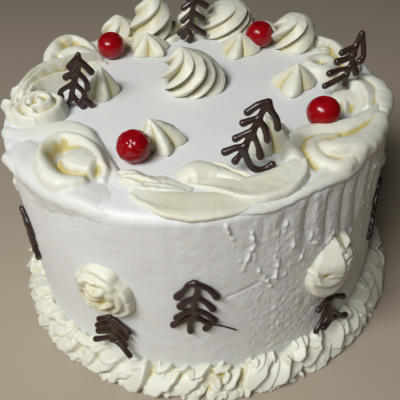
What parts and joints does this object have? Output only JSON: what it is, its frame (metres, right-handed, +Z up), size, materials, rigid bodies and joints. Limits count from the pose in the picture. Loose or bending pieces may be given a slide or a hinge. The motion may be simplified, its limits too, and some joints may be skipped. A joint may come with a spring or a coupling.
{
  "type": "cherry cake",
  "caption": "Tall round cream cake with a crown of piped swirls and kisses, cocktail cherries on top, small piped chocolate trees and a shell border round its foot.",
  "frame": {"origin": "middle of the cake's flat underside", "axes": "+Z up through the cake's middle, -Y towards the front that the picture shows, +X to the right of that front"},
  "size_m": [0.2391, 0.2389, 0.1598],
  "materials": {
    "cream_coat": "whipped cream spread with a palette knife, soft satin",
    "piped_cream": "piped whipped cream, warm ivory, soft satin",
    "cherry": "syrup-glazed cocktail cherry, wet gloss",
    "chocolate": "set dark chocolate, semi-gloss"
  },
  "bodies": {
    "root": {"cake_drum": "cream_coat", "cherry_back_left": "cherry", "cherry_back_right": "cherry", "cherry_front_left": "cherry", "cherry_right": "cherry", "foot_shell_border": "piped_cream", "kiss_back_left": "piped_cream", "kiss_back_right": "piped_cream", "kiss_front": "piped_cream", "kiss_front_left": "piped_cream", "kiss_front_right": "piped_cream", "kiss_left": "piped_cream", "kiss_right": "piped_cream", "ribbon_front": "piped_cream", "ribbon_front_left": "piped_cream", "ribbon_front_right": "piped_cream", "rosette_wall_back": "piped_cream", "rosette_wall_front_left": "piped_cream", "rosette_wall_front_right": "piped_cream", "rosette_wall_left": "piped_cream", "rosette_wall_right": "piped_cream", "rosette_wall_right_back": "piped_cream", "swirl_back": "piped_cream", "swirl_back_left": "piped_cream", "swirl_back_middle": "piped_cream", "swirl_back_right": "piped_cream", "swirl_centre": "piped_cream", "swirl_front_left": "piped_cream", "swirl_front_right": "piped_cream", "swirl_left": "piped_cream", "swirl_right": "piped_cream", "swirl_right_back": "piped_cream", "tree_low_back": "chocolate", "tree_low_front_left": "chocolate", "tree_low_front_right": "chocolate", "tree_low_left": "chocolate", "tree_low_right": "chocolate", "tree_low_right_back": "chocolate", "tree_top_back": "chocolate", "tree_top_front": "chocolate", "tree_top_left": "chocolate", "tree_top_right": "chocolate", "tree_wall_back": "chocolate", "tree_wall_front": "chocolate", "tree_wall_front_left": "chocolate", "tree_wall_front_right": "chocolate", "tree_wall_left_back": "chocolate", "tree_wall_right": "chocolate"}
  },
  "joints": []
}
